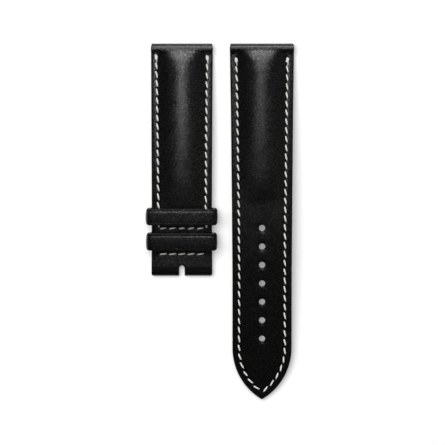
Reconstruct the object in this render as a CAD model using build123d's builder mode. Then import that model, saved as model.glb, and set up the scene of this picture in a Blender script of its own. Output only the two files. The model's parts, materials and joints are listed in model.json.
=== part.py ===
from build123d import *
import os
from dataclasses import dataclass
from math import acos, asin, atan2, cos, degrees, hypot, radians, sin, sqrt

os.makedirs("parts", exist_ok=True)

# A two-piece padded leather watch strap, in millimetres.
# Both pieces lie face up with their lug ends towards +Y, each bowed as it rests on its two ends.
# Distances along a piece are measured in plan from its lug end. Heights are measured square
# to the leather, from the underside of the lining.

# Lengths in plan, the space between the two pieces, and how each one is bowed
short_length = 75.0
long_length = 115.0
piece_gap = 5.45
short_bow_radius = 230.0
long_bow_radius = 300.0

# Widths of the short piece, each with its distance from the lug end
short_lug_width = 20.0
short_shoulder_width = 19.7
short_shoulder_distance = 20.0
short_waist_width = 19.4
short_waist_distance = 52.0
short_buckle_width = 19.6

# Widths of the long piece, each with its distance from the lug end
long_lug_width = 20.8
long_shoulder_width = 20.1
long_shoulder_distance = 21.0
long_waist_width = 19.45
long_waist_distance = 52.0
long_tail_width = 19.1
long_tail_distance = 75.0
tail_arc_radius = 19.5
tail_tip_round = 0.7

# Rounded plan corners, as the length and the width that each one takes away
lug_corner_length = 2.0
lug_corner_width = 0.25
buckle_corner_length = 0.5
buckle_corner_width = 0.4

# Layers: the lining, the tape on it, and the top leather over both
lining_thickness = 0.85
tape_thickness = 0.25
tape_width = 12.0
border_height = 2.0
crown_leather_thickness = 0.9

# Padded crown above the border, and the padding under its leather
crown_half_width = 7.2
crown_rise = 2.3
crown_start = 1.2
short_crown_to_buckle_end = 19.0
long_crown_end = 52.0
padding_half_width = 6.7
padding_start = 6.4
padding_end_gap = 3.0

# Shares of the crown's length and of its rise, from the lug end on
crown_shares = [
    (0.0, 0.52),
    (0.04, 0.74),
    (0.09, 0.92),
    (0.15, 1.0),
    (0.3, 0.9),
    (0.5, 0.75),
    (0.7, 0.59),
    (0.85, 0.44),
    (0.93, 0.26),
    (1.0, 0.07),
]

# Lug end: leather rolled round the spring bar's tunnel, and a neck down to the border
lug_roll_radius = 1.75
lug_bore_radius = 1.0
lug_neck_end = 3.6
lug_scarf_start = 4.0
lug_scarf_end = 5.4

# Buckle end: the same roll for the buckle's bar, split by a slot for the tongue
buckle_roll_radius = 1.45
buckle_bore_radius = 0.8
buckle_neck_end = 3.2
buckle_scarf_start = 3.8
buckle_scarf_end = 5.0
tongue_slot_depth = 3.3
tongue_slot_width = 1.8

# Each roll sinks this far into the underside, where it is pressed flat
roll_sink = 0.03

# Tongue holes in the tail
hole_count = 7
hole_spacing = 5.95
hole_radius = 1.0
last_hole_to_tip = 19.7

# Reinforcing tape ends
tape_start = 5.8
short_tape_to_buckle_end = 17.5
long_tape_to_tip = 9.0

# Keepers: a leather band with its own lining, bent into a loop
keeper_leather = 0.8
keeper_lining = 0.4
keeper_tail_gap = 0.7
keeper_inner_round = 0.8
keeper_plan_round = 0.8
keeper_crease_inset = 0.93
keeper_crease_width = 0.25
keeper_crease_depth = 0.1
fixed_keeper_length = 5.7
fixed_keeper_to_end = 11.2
fixed_keeper_side_gap = 0.4
fixed_keeper_skived_leather = 0.3
fixed_keeper_skived_lining = 0.2
floating_keeper_length = 5.5
floating_keeper_to_end = 19.15
floating_keeper_side_gap = 0.3
floating_keeper_under_gap = 0.35

# Stitches of the floating keeper's butt joint, laid in pressed seats on its underside
joint_stitch_count = 3
joint_stitch_length = 2.4
joint_stitch_width = 0.5
joint_stitch_depth = 0.15

# Stitching: the needle thread shows on top and the bobbin thread underneath
thread_width = 0.54
needle_thread_height = 0.34
needle_thread_round = 0.2
bobbin_thread_height = 0.2
thread_seat_gap = 0.02
stitch_length = 2.15
stitch_slant = 13.0
lengthwise_heading = -90.0
short_left_seam_start = 3.3
short_left_seam_to_end = 15.6
short_right_seam_start = 3.35
short_right_seam_to_end = 17.5
short_seam_lug_inset = 1.65
short_seam_end_inset = 2.05
short_stitch_spacing = 2.83
long_seam_start = 4.0
long_left_corner_gap = 0.75
long_right_corner_gap = 0.05
long_seam_inset = 2.1
long_stitch_spacing = 2.88
cross_stitch_count = 5
cross_stitch_length = 2.25
cross_stitch_spacing = 3.0
cross_stitch_slant = 8.0
upper_cross_to_end = 15.3
lower_cross_to_end = 7.0

# How far cutting shapes run past what they cut
overrun = 1.0

# Places worked out from the sizes above
lug_y = long_length / 2
half_reach = long_lug_width / 2 + overrun
tall = short_length
tape_top = lining_thickness + tape_thickness
keeper_thickness = keeper_leather + keeper_lining
keeper_inner_top = 2 * border_height + keeper_tail_gap
keeper_outer_top = keeper_inner_top + keeper_thickness
floating_inner_width = short_lug_width + 2 * floating_keeper_side_gap
floating_outer_width = floating_inner_width + 2 * keeper_thickness
fixed_inner_width = short_buckle_width + 2 * fixed_keeper_side_gap
fixed_keeper_bottom = lining_thickness + fixed_keeper_skived_lining + fixed_keeper_skived_leather
floating_station = short_length - floating_keeper_to_end
fixed_station = short_length - fixed_keeper_to_end
piece_spacing = short_lug_width / 2 + piece_gap + long_lug_width / 2
long_x = (piece_spacing + floating_outer_width / 2 - long_lug_width / 2) / 2
short_x = long_x - piece_spacing
tail_side = long_tail_width / 2
tail_arc_inset = tail_arc_radius - tail_side
tail_start = long_length - sqrt(tail_arc_radius**2 - tail_arc_inset**2)
short_crown_end = short_length - short_crown_to_buckle_end

short_sides = [
    (0.0, short_lug_width / 2),
    (short_shoulder_distance, short_shoulder_width / 2),
    (short_waist_distance, short_waist_width / 2),
    (short_length, short_buckle_width / 2),
]
long_sides = [
    (0.0, long_lug_width / 2),
    (long_shoulder_distance, long_shoulder_width / 2),
    (long_waist_distance, long_waist_width / 2),
    (long_tail_distance, tail_side),
    (tail_start, tail_side),
]

# Where each side's seam starts and ends on the short piece, and stops before the tail's corner
short_seam_ends = {
    -1: (short_left_seam_start, short_length - short_left_seam_to_end),
    1: (short_right_seam_start, short_length - short_right_seam_to_end),
}
long_corner_gaps = {-1: long_left_corner_gap, 1: long_right_corner_gap}


@dataclass
class Bow:
    """One bowed piece: its middle in plan, and the axis that its layers are concentric with."""

    x: float
    y: float
    z: float
    radius: float

    def lean(self, distance, height):
        """The angle from upright of the line through the bow's axis and a point."""
        return asin((lug_y - distance - self.y) / (self.radius + height))

    def side_point(self, distance, height):
        """A point of the side view, as Y and Z."""
        angle = self.lean(distance, height)
        radius = self.radius + height
        return (self.y + radius * sin(angle), self.z + radius * cos(angle))

    def arc(self, start, end, height):
        """The arc of one height between two distances."""
        first = 90 - degrees(self.lean(start, height))
        last = 90 - degrees(self.lean(end, height))
        return CenterArc((self.y, self.z), self.radius + height, first, last - first)

    def section(self, distance, height):
        """The plane square to the piece that passes through a distance at a height.

        Its origin is on the underside and its y axis points up.
        """
        angle = self.lean(distance, height)
        y = self.y + self.radius * sin(angle)
        z = self.z + self.radius * cos(angle)
        return Plane((self.x, y, z), x_dir=(1, 0, 0), z_dir=(0, -cos(angle), sin(angle)))

    def surface(self, x, distance, height, heading=0):
        """The plane that lies on the leather at a height, with its x axis turned to a heading."""
        angle = self.lean(distance, height)
        y, z = self.side_point(distance, height)
        turn = radians(heading)
        x_dir = (cos(turn), sin(turn) * cos(angle), -sin(turn) * sin(angle))
        return Plane((x, y, z), x_dir=x_dir, z_dir=(0, sin(angle), cos(angle)))


def bow_over(x, radius, first_foot, last_foot):
    """The bow of a piece whose underside meets the table at two distances."""
    half_span = (last_foot - first_foot) / 2
    middle = lug_y - (first_foot + last_foot) / 2
    return Bow(x, middle, -sqrt(radius**2 - half_span**2), radius)


def roll_foot(roll_radius):
    """How far from its end the pressed flat of a roll begins."""
    return roll_radius - sqrt(2 * roll_radius * roll_sink)


short_last_foot = short_length - roll_foot(buckle_roll_radius)
short_bow = bow_over(short_x, short_bow_radius, roll_foot(lug_roll_radius), short_last_foot)
long_bow = bow_over(long_x, long_bow_radius, roll_foot(lug_roll_radius), long_length)


def value_at(stations, distance):
    """A value at a distance, in proportion between the two stations around it."""
    for (near, near_value), (far, far_value) in zip(stations, stations[1:]):
        if distance <= far:
            share = (distance - near) / (far - near)
            return near_value + (far_value - near_value) * share
    return stations[-1][1]


# Plan outlines run past the rolled ends, because each roll is its own end
def right_side(x, sides):
    """The right edge in plan, from beyond the lug end to the last listed width."""
    corner_x = x + sides[0][1] - lug_corner_width
    points = [(corner_x, lug_y + overrun), (corner_x, lug_y)]
    points.append((x + value_at(sides, lug_corner_length), lug_y - lug_corner_length))
    for distance, side in sides[1:]:
        points.append((x + side, lug_y - distance))
    return points


def mirrored(points, x):
    """The same points on the other side of a middle line, in the opposite order."""
    return [(2 * x - point_x, point_y) for point_x, point_y in reversed(points)]


def short_outline():
    """The plan of the short piece."""
    end_y = lug_y - short_length
    corner_x = short_x + short_buckle_width / 2 - buckle_corner_width
    right = right_side(short_x, short_sides[:-1])
    right.append((short_x + short_buckle_width / 2, end_y + buckle_corner_length))
    right.append((corner_x, end_y))
    right.append((corner_x, end_y - overrun))
    with BuildSketch(Plane.XY.offset(-overrun)) as outline:
        with BuildLine():
            Polyline(right + mirrored(right, short_x), close=True)
        make_face()
    return outline.sketch


def long_outline():
    """The plan of the long piece, whose sides run into two arcs that meet at the tip."""
    right = right_side(long_x, long_sides)
    left = mirrored(right, long_x)
    tip = (long_x, lug_y - long_length)
    with BuildSketch(Plane.XY.offset(-overrun)) as outline:
        with BuildLine():
            Polyline(left + right)
            RadiusArc(right[-1], tip, tail_arc_radius)
            RadiusArc(tip, left[0], tail_arc_radius)
        make_face()
        fillet(outline.vertices().sort_by(Axis.Y)[0], tail_tip_round)
    return outline.sketch


def layer_profile(bow, start, end, low, high):
    """The side view of a layer between two distances and two heights."""
    with BuildSketch(Plane.YZ.offset(bow.x)) as profile:
        with BuildLine():
            top = bow.arc(start, end, high)
            bottom = bow.arc(start, end, low)
            Line(top @ 0, bottom @ 0)
            Line(top @ 1, bottom @ 1)
        make_face()
    return profile.sketch


def end_profile(bow, end_distance, inward, roll_radius, neck_end, scarf_start, scarf_end):
    """The side view of a rolled end: the roll, its neck, and its heel down to the lining's scarf.

    inward is 1 where distances grow from this end into the piece, and -1 at the other end.
    """
    roll_height = roll_radius - roll_sink
    neck_run = neck_end - roll_radius
    neck_fall = border_height - roll_height
    touch = atan2(neck_fall, neck_run) + acos(roll_radius / hypot(neck_run, neck_fall))
    scarf_slope = (scarf_end - scarf_start) / lining_thickness
    corners = [
        (roll_radius, roll_height),
        (roll_radius + roll_radius * cos(touch), roll_height + roll_radius * sin(touch)),
        (neck_end, border_height - roll_sink),
        (scarf_end + scarf_slope * roll_sink, lining_thickness + roll_sink),
        (scarf_start - scarf_slope * overrun, -overrun),
        (roll_radius, -overrun),
    ]
    places = [bow.side_point(end_distance + inward * run, height) for run, height in corners]
    with BuildSketch(Plane.YZ.offset(bow.x)) as profile:
        with BuildLine():
            Polyline(places, close=True)
        make_face()
        with Locations(places[0]):
            Circle(roll_radius)
        with Locations((bow.y, bow.z)):
            Circle(bow.radius, mode=Mode.SUBTRACT)
    return profile.sketch


def crown_form(bow, crown_end, half_width, side_height, drop, floor):
    """A form whose arched top follows the crown, a drop below the crown's own surface."""
    with BuildPart() as form:
        for length_share, rise_share in crown_shares:
            distance = crown_start + length_share * (crown_end - crown_start)
            top = border_height + rise_share * crown_rise - drop
            with BuildSketch(bow.section(distance, border_height)):
                with BuildLine():
                    ThreePointArc((-half_width, side_height), (0, top), (half_width, side_height))
                    Polyline(
                        (half_width, side_height),
                        (half_width, floor),
                        (-half_width, floor),
                        (-half_width, side_height),
                    )
                make_face()
        loft()
    return form.part


def padding_form(bow, crown_end):
    """The padding's space: what the crown's leather leaves above the lining."""
    highest = border_height + crown_rise
    padding_end = crown_end - padding_end_gap
    with BuildPart() as space:
        add(crown_form(bow, crown_end, padding_half_width, lining_thickness, crown_leather_thickness, 0))
        side_view = layer_profile(bow, padding_start, padding_end, lining_thickness, highest)
        extrude(side_view, amount=crown_half_width, both=True, mode=Mode.INTERSECT)
    return space.part


def tape_form(bow, end):
    """The tape that lies on the lining, up to a distance."""
    with BuildPart() as strip:
        side_view = layer_profile(bow, tape_start, end, lining_thickness, tape_top)
        extrude(side_view, amount=tape_width / 2, both=True)
    return strip.part


def tunnel_form(bow, distance, roll_radius, bore_radius):
    """The tunnel of a spring bar, across the whole piece."""
    with BuildPart() as tunnel:
        with BuildSketch(Plane.YZ.offset(bow.x)):
            with Locations(bow.side_point(distance, roll_radius - roll_sink)):
                Circle(bore_radius)
        extrude(amount=half_reach, both=True)
    return tunnel.part


def loop_form(plane, length, outside, inside):
    """A loop between two rounded outlines, each given as a width, a bottom, a top and a rounding."""
    with BuildPart() as loop:
        with BuildSketch(plane):
            for (width, bottom, top, rounding), mode in [(outside, Mode.ADD), (inside, Mode.SUBTRACT)]:
                with Locations((0, (bottom + top) / 2)):
                    RectangleRounded(width, top - bottom, rounding, mode=mode)
        extrude(amount=length / 2, both=True)
    return loop.part


def keeper_outlines(inner_width, inner_bottom, under_lining, under_leather):
    """A keeper's outlines: inside its lining, between lining and leather, and outside."""
    middle_bottom = inner_bottom - under_lining
    middle_width = inner_width + 2 * keeper_lining
    middle_top = keeper_inner_top + keeper_lining
    middle_round = keeper_inner_round
    outer_round = middle_round + keeper_leather
    return (
        (inner_width, inner_bottom, keeper_inner_top, keeper_inner_round),
        (middle_width, middle_bottom, middle_top, middle_round),
        (middle_width + 2 * keeper_leather, middle_bottom - under_leather, keeper_outer_top, outer_round),
    )


def keeper_leather_form(plane, length, middle, outer):
    """A keeper's leather, with rounded plan corners and a pressed line along each edge."""
    width, bottom, top, rounding = outer
    pressed_inset = keeper_crease_depth
    pressed = (
        width - 2 * pressed_inset,
        bottom + pressed_inset,
        top - pressed_inset,
        rounding - pressed_inset,
    )
    around = (width + overrun, bottom - overrun, top + overrun, rounding)
    crease_offset = length / 2 - keeper_crease_inset
    flat = Plane(plane.origin, x_dir=plane.x_dir, z_dir=plane.y_dir)
    with BuildPart() as leather:
        add(loop_form(plane, length, outer, middle))
        with BuildSketch(flat.offset(bottom - overrun)):
            RectangleRounded(width, length, keeper_plan_round)
        extrude(amount=top - bottom + 2 * overrun, mode=Mode.INTERSECT)
        for side in (-1, 1):
            crease_plane = plane.offset(side * crease_offset)
            add(loop_form(crease_plane, keeper_crease_width, around, pressed), mode=Mode.SUBTRACT)
    return leather.part


def stitch_row(stitch, places):
    """Copies of one stitch, each lying on its own plane."""
    with BuildPart() as row:
        with Locations(*places):
            add(stitch)
    return row.part


def export_piece(part, name):
    """Labels a finished piece and writes it."""
    part.label = name
    export_step(part, "parts/" + name + ".step")


# Shapes that several pieces share, so that those pieces meet face to face
lug_ends = (lug_roll_radius, lug_neck_end, lug_scarf_start, lug_scarf_end)
buckle_ends = (buckle_roll_radius, buckle_neck_end, buckle_scarf_start, buckle_scarf_end)
short_lug_profile = end_profile(short_bow, 0, 1, *lug_ends)
long_lug_profile = end_profile(long_bow, 0, 1, *lug_ends)
buckle_profile = end_profile(short_bow, short_length, -1, *buckle_ends)
buckle_roll_distance = short_length - buckle_roll_radius
lining_start = (lug_roll_radius + lug_scarf_start) / 2
short_lining_end = short_length - (buckle_roll_radius + buckle_scarf_start) / 2
long_end = long_length + overrun
short_tape = tape_form(short_bow, short_length - short_tape_to_buckle_end)
long_tape = tape_form(long_bow, long_length - long_tape_to_tip)
short_padding_space = padding_form(short_bow, short_crown_end)
long_padding_space = padding_form(long_bow, long_crown_end)

# The slot for the buckle's tongue, open at the end and round inside
with BuildPart() as tongue_slot:
    slot_round = tongue_slot_width / 2
    slot_centre_y = lug_y - short_length + tongue_slot_depth - slot_round
    slot_run = tongue_slot_depth - slot_round + overrun
    with BuildSketch(Plane.XY.offset(-overrun)):
        with Locations((short_x, slot_centre_y)):
            Circle(slot_round)
            Rectangle(tongue_slot_width, slot_run, align=(Align.CENTER, Align.MAX))
    extrude(amount=tall)

# The tongue holes, each square to the bowed tail
hole_distances = [long_length - last_hole_to_tip - hole_spacing * index for index in range(hole_count)]
hole_planes = [long_bow.surface(long_x, distance, border_height) for distance in hole_distances]
with BuildPart() as tongue_holes:
    with Locations(*hole_planes):
        Cylinder(hole_radius, 2 * (border_height + overrun))

# The two keepers' loops
floating_plane = short_bow.section(floating_station, keeper_outer_top)
fixed_plane = short_bow.section(fixed_station, keeper_outer_top)
floating_inner, floating_middle, floating_outer = keeper_outlines(
    floating_inner_width, -floating_keeper_under_gap, keeper_lining, keeper_leather
)
fixed_inner, fixed_middle, fixed_outer = keeper_outlines(
    fixed_inner_width, fixed_keeper_bottom, fixed_keeper_skived_lining, fixed_keeper_skived_leather
)

# The pocket in the top leather that the fixed keeper's lower run fills, open towards the lining
pocket_width, keeper_floor, pocket_top, pocket_round = fixed_outer
pocket_outline = (pocket_width, keeper_floor - overrun, pocket_top, pocket_round)
keeper_pocket = loop_form(fixed_plane, fixed_keeper_length, pocket_outline, fixed_inner)

# Lining of the fixed keeper, skived where it passes between the strap's two layers
with BuildPart() as fixed_keeper_lining:
    add(loop_form(fixed_plane, fixed_keeper_length, fixed_middle, fixed_inner))
export_piece(fixed_keeper_lining.part, "fixed_keeper_lining")

# Leather of the fixed keeper
with BuildPart() as fixed_keeper_leather:
    add(keeper_leather_form(fixed_plane, fixed_keeper_length, fixed_middle, fixed_outer))
export_piece(fixed_keeper_leather.part, "fixed_keeper_leather")

# Lining of the short piece, scarfed under the leather at both ends
with BuildPart() as short_lining:
    extrude(
        layer_profile(short_bow, lining_start, short_lining_end, 0, lining_thickness),
        amount=half_reach,
        both=True,
    )
    extrude(short_lug_profile, amount=half_reach, both=True, mode=Mode.SUBTRACT)
    extrude(buckle_profile, amount=half_reach, both=True, mode=Mode.SUBTRACT)
    extrude(short_outline(), amount=tall, mode=Mode.INTERSECT)
    add(tongue_slot, mode=Mode.SUBTRACT)
export_piece(short_lining.part, "short_lining")

# Top leather of the short piece, rolled round a tunnel at each end
with BuildPart() as short_top_leather:
    extrude(
        layer_profile(short_bow, lug_roll_radius, buckle_roll_distance, lining_thickness, border_height),
        amount=half_reach,
        both=True,
    )
    extrude(short_lug_profile, amount=half_reach, both=True)
    extrude(buckle_profile, amount=half_reach, both=True)
    extrude(short_outline(), amount=tall, mode=Mode.INTERSECT)
    add(crown_form(short_bow, short_crown_end, crown_half_width, border_height, 0, tape_top))
    add(short_padding_space, mode=Mode.SUBTRACT)
    add(short_tape, mode=Mode.SUBTRACT)
    add(tunnel_form(short_bow, lug_roll_radius, lug_roll_radius, lug_bore_radius), mode=Mode.SUBTRACT)
    add(
        tunnel_form(short_bow, buckle_roll_distance, buckle_roll_radius, buckle_bore_radius),
        mode=Mode.SUBTRACT,
    )
    add(tongue_slot, mode=Mode.SUBTRACT)
    add(keeper_pocket, mode=Mode.SUBTRACT)
export_piece(short_top_leather.part, "short_top_leather")

# Padding of the short piece, laid over the tape
with BuildPart() as short_padding:
    add(short_padding_space)
    add(short_tape, mode=Mode.SUBTRACT)
export_piece(short_padding.part, "short_padding")

# Tape that keeps the short piece from stretching
with BuildPart() as short_stay_tape:
    add(short_tape)
export_piece(short_stay_tape.part, "short_stay_tape")

# Lining of the long piece
with BuildPart() as long_lining:
    extrude(
        layer_profile(long_bow, lining_start, long_end, 0, lining_thickness),
        amount=half_reach,
        both=True,
    )
    extrude(long_lug_profile, amount=half_reach, both=True, mode=Mode.SUBTRACT)
    extrude(long_outline(), amount=tall, mode=Mode.INTERSECT)
    add(tongue_holes, mode=Mode.SUBTRACT)
export_piece(long_lining.part, "long_lining")

# Top leather of the long piece, rolled round a tunnel at its lug end
with BuildPart() as long_top_leather:
    extrude(
        layer_profile(long_bow, lug_roll_radius, long_end, lining_thickness, border_height),
        amount=half_reach,
        both=True,
    )
    extrude(long_lug_profile, amount=half_reach, both=True)
    extrude(long_outline(), amount=tall, mode=Mode.INTERSECT)
    add(crown_form(long_bow, long_crown_end, crown_half_width, border_height, 0, tape_top))
    add(long_padding_space, mode=Mode.SUBTRACT)
    add(long_tape, mode=Mode.SUBTRACT)
    add(tunnel_form(long_bow, lug_roll_radius, lug_roll_radius, lug_bore_radius), mode=Mode.SUBTRACT)
    add(tongue_holes, mode=Mode.SUBTRACT)
export_piece(long_top_leather.part, "long_top_leather")

# Padding of the long piece
with BuildPart() as long_padding:
    add(long_padding_space)
    add(long_tape, mode=Mode.SUBTRACT)
export_piece(long_padding.part, "long_padding")

# Tape of the long piece, pierced by the tongue holes
with BuildPart() as long_stay_tape:
    add(long_tape)
    add(tongue_holes, mode=Mode.SUBTRACT)
export_piece(long_stay_tape.part, "long_stay_tape")

# Lining of the floating keeper
with BuildPart() as floating_keeper_lining:
    add(loop_form(floating_plane, floating_keeper_length, floating_middle, floating_inner))
export_piece(floating_keeper_lining.part, "floating_keeper_lining")

# Leather of the floating keeper, with pressed seats for the stitches of its butt joint
joint_spacing = floating_keeper_length / (joint_stitch_count + 1)
floating_bottom = floating_outer[1]
under_plane = Plane(floating_plane.origin, x_dir=(1, 0, 0), z_dir=floating_plane.y_dir)
with BuildPart() as floating_keeper_joint_thread:
    with BuildSketch(under_plane.offset(floating_bottom)):
        with GridLocations(0, joint_spacing, 1, joint_stitch_count):
            SlotOverall(joint_stitch_length, joint_stitch_width)
    extrude(amount=joint_stitch_depth)
with BuildPart() as floating_keeper_leather:
    add(keeper_leather_form(floating_plane, floating_keeper_length, floating_middle, floating_outer))
    add(floating_keeper_joint_thread, mode=Mode.SUBTRACT)
export_piece(floating_keeper_leather.part, "floating_keeper_leather")
export_piece(floating_keeper_joint_thread.part, "floating_keeper_joint_thread")


def needle_stitch(length):
    """One stitch of the needle thread, a capsule with a rounded top just above its plane."""
    with BuildPart() as stitch:
        with BuildSketch(Plane.XY.offset(thread_seat_gap)):
            SlotOverall(length, thread_width)
        extrude(amount=needle_thread_height)
        fillet(stitch.edges().group_by(Axis.Z)[-1], needle_thread_round)
    return stitch.part


def bobbin_stitch(length):
    """One stitch of the bobbin thread, a flat capsule just below its plane."""
    with BuildPart() as stitch:
        with BuildSketch(Plane.XY.offset(-thread_seat_gap - bobbin_thread_height)):
            SlotOverall(length, thread_width)
        extrude(amount=bobbin_thread_height)
    return stitch.part


def short_seam_places(side, height):
    """Planes of the stitches along one side of the short piece, -1 for left and 1 for right."""
    start, end = short_seam_ends[side]
    insets = [(start, short_seam_lug_inset), (end, short_seam_end_inset)]
    count = round((end - start) / short_stitch_spacing)
    planes = []
    for index in range(count):
        distance = start + (end - start) * (index + 0.5) / count
        x = short_x + side * (value_at(short_sides, distance) - value_at(insets, distance))
        planes.append(short_bow.surface(x, distance, height, lengthwise_heading + stitch_slant))
    return planes


def cross_seam_places(to_end, height):
    """Planes of the stitches of one seam across the short piece."""
    middle = (cross_stitch_count - 1) / 2
    planes = []
    for index in range(cross_stitch_count):
        x = short_x + (index - middle) * cross_stitch_spacing
        planes.append(short_bow.surface(x, short_length - to_end, height, cross_stitch_slant))
    return planes


def long_seam_places(height):
    """Planes of the stitches down the left side, round the tail and up the right side."""
    seam_radius = tail_arc_radius - long_seam_inset
    straight = tail_start - long_seam_start
    planes = []
    for side, corner_gap in long_corner_gaps.items():
        run = straight + seam_radius * acos(tail_arc_inset / seam_radius) - corner_gap
        count = round(run / long_stitch_spacing)
        for index in range(count):
            along = run * (index + 0.5) / count
            angle = max(along - straight, 0) / seam_radius
            distance = long_seam_start + min(along, straight) + seam_radius * sin(angle)
            straight_side = value_at(long_sides, distance) - long_seam_inset
            x = long_x + side * (straight_side - seam_radius * (1 - cos(angle)))
            heading = lengthwise_heading + stitch_slant - side * degrees(angle)
            planes.append(long_bow.surface(x, distance, height, heading))
    return planes


# Each seam's needle thread on top, and its bobbin thread underneath
seams = {
    "short_left_seam": (stitch_length, short_seam_places, -1),
    "short_right_seam": (stitch_length, short_seam_places, 1),
    "upper_cross_seam": (cross_stitch_length, cross_seam_places, upper_cross_to_end),
    "lower_cross_seam": (cross_stitch_length, cross_seam_places, lower_cross_to_end),
}
for seam_name, (length, seam_places, where) in seams.items():
    needle_row = stitch_row(needle_stitch(length), seam_places(where, border_height))
    bobbin_row = stitch_row(bobbin_stitch(length), seam_places(where, 0))
    export_piece(needle_row, seam_name + "_needle_thread")
    export_piece(bobbin_row, seam_name + "_bobbin_thread")

# The seam that goes round the long piece
long_needle_row = stitch_row(needle_stitch(stitch_length), long_seam_places(border_height))
export_piece(long_needle_row, "long_seam_needle_thread")
long_bobbin_row = stitch_row(bobbin_stitch(stitch_length), long_seam_places(0))
export_piece(long_bobbin_row, "long_seam_bobbin_thread")
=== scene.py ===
"""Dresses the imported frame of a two-piece padded leather watch strap."""

import json
from collections import namedtuple
from math import acos, ceil, cos, exp, hypot, pi, radians, sin, sqrt

import bmesh
import bpy
from mathutils import Matrix, Vector, noise
from mathutils.kdtree import KDTree

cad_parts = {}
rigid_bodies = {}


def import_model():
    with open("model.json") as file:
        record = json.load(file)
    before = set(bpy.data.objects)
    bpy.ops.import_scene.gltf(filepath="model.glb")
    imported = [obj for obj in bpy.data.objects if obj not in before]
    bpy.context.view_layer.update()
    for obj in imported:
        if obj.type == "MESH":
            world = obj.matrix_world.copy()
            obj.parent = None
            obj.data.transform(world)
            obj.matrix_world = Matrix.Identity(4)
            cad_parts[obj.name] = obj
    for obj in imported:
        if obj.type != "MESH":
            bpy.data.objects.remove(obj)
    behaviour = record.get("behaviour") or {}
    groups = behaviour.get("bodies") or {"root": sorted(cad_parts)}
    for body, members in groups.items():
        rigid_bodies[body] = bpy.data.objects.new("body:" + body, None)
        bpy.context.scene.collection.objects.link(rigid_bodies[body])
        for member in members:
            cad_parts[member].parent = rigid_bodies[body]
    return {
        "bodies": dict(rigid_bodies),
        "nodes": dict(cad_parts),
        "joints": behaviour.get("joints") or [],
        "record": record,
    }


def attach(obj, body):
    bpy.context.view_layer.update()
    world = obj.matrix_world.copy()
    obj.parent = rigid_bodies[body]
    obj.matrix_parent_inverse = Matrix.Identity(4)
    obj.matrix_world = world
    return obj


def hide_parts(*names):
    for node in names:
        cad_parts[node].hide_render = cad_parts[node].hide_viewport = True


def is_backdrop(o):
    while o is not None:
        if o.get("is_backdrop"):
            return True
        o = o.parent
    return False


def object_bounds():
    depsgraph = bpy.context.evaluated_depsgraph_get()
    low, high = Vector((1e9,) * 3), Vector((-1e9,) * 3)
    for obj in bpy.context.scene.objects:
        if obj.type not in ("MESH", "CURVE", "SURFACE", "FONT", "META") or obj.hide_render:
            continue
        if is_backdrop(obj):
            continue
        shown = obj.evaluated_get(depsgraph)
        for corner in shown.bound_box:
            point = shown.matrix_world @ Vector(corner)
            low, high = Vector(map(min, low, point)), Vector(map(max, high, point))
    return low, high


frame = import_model()
cad_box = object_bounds()

# Sizes in millimetres; distances run from the lug end
MM = 0.001
LUG_Y = 57.5
SHORT_LENGTH, LONG_LENGTH = 75, 115
LUG_ROLL, BUCKLE_ROLL, SINK = 1.75, 1.45, 0.03
BORDER, LINING, TAPE, SKIN = 2.0, 0.85, 0.25, 0.9
BORDER_FALL, BORDER_WIDE = 0.3, 3
CROWN_HALF, CROWN_RISE, CROWN_START = 7.2, 2.3, 1.2
# The crown's height along the piece, as shares of its length and of its rise
CROWN_SHARES = [
    (0, 0.52), (0.04, 0.74), (0.09, 0.92), (0.15, 1.0), (0.3, 0.9),
    (0.5, 0.75), (0.7, 0.59), (0.85, 0.44), (0.93, 0.26), (1, 0.07),
]
# The crown's section is this power's curve, and a fuller one at the lug end
CROWN_POWER, LUG_POWER, LUG_POWER_RUN = 2.15, 4.75, 6.5
PAD_HALF, PAD_START, PAD_END_GAP = 6.7, 6.4, 3.0
TAPE_HALF, TAPE_START = 6.0, 5.8
# The short piece rises gently to the buckle's roll, where the leather takes the matt black edge paint as
# painted shade
RAMP_FROM, RAMP_TO, RAMP_SLOPE, RAMP_EASE = 67.0, 73.3, 0.147, 0.6
PAINTED_SHADE_FROM = 72.0
FIXED_FROM, FIXED_TO = 60.95, 66.65
SLOT_RADIUS, SLOT_DEPTH, SLOT_ROUND = 0.9, 3.3, 0.18
SLOT_MARKS = [71.2, 71.45, 71.6, 71.7, 71.85, 72.1, 72.6]
TAIL_RADIUS, TAIL_SIDE, TIP_ROUND = 19.5, 9.55, 0.7
TAIL_INSET = TAIL_RADIUS - TAIL_SIDE
TAIL_START = LONG_LENGTH - sqrt(TAIL_RADIUS**2 - TAIL_INSET**2)
TAIL_RUN = TAIL_RADIUS * acos(TAIL_INSET / TAIL_RADIUS)
EDGE_ROUND = 0.38
ROW_STEP = 0.28
HOLE_RADIUS, HOLE_SPACING, HOLE_FROM_TIP = 1.0, 5.95, 19.7
HOLE_CLEAR, HOLE_OPEN, HOLE_SIDES = 1.3, 1.75, 32
HOLES = [LONG_LENGTH - HOLE_FROM_TIP - HOLE_SPACING * i for i in range(7)]
STITCH, CROSS_STITCH, SLANT = 2.15, 2.25, radians(13)
LONG_INSET, LONG_SEAM_START = 2.1, 4.0
GROOVE, GROOVE_WIDE, LINING_GROOVE = 0.1, 0.32, 0.07
# How softly the border meets the crown and the rolls, and how far the crown's rim lies below it
CROWN_SOFT, ROLL_SOFT, CROWN_SUNK = 0.45, 0.5, 0.12
# How far the needle holes pull the leather in, and how wide
NEEDLE_DENT, LINING_DENT, DENT_WIDE = 0.3, 0.2, 0.25
WANDER, NEAR, SHARP = 0.02, 1e-6, 38


def blended(table, at):
    """A table's value at a place, in proportion between its entries."""
    for (near, a), (far, b) in zip(table, table[1:]):
        if at <= far:
            return a + (b - a) * (at - near) / (far - near)
    return table[-1][1]


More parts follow.
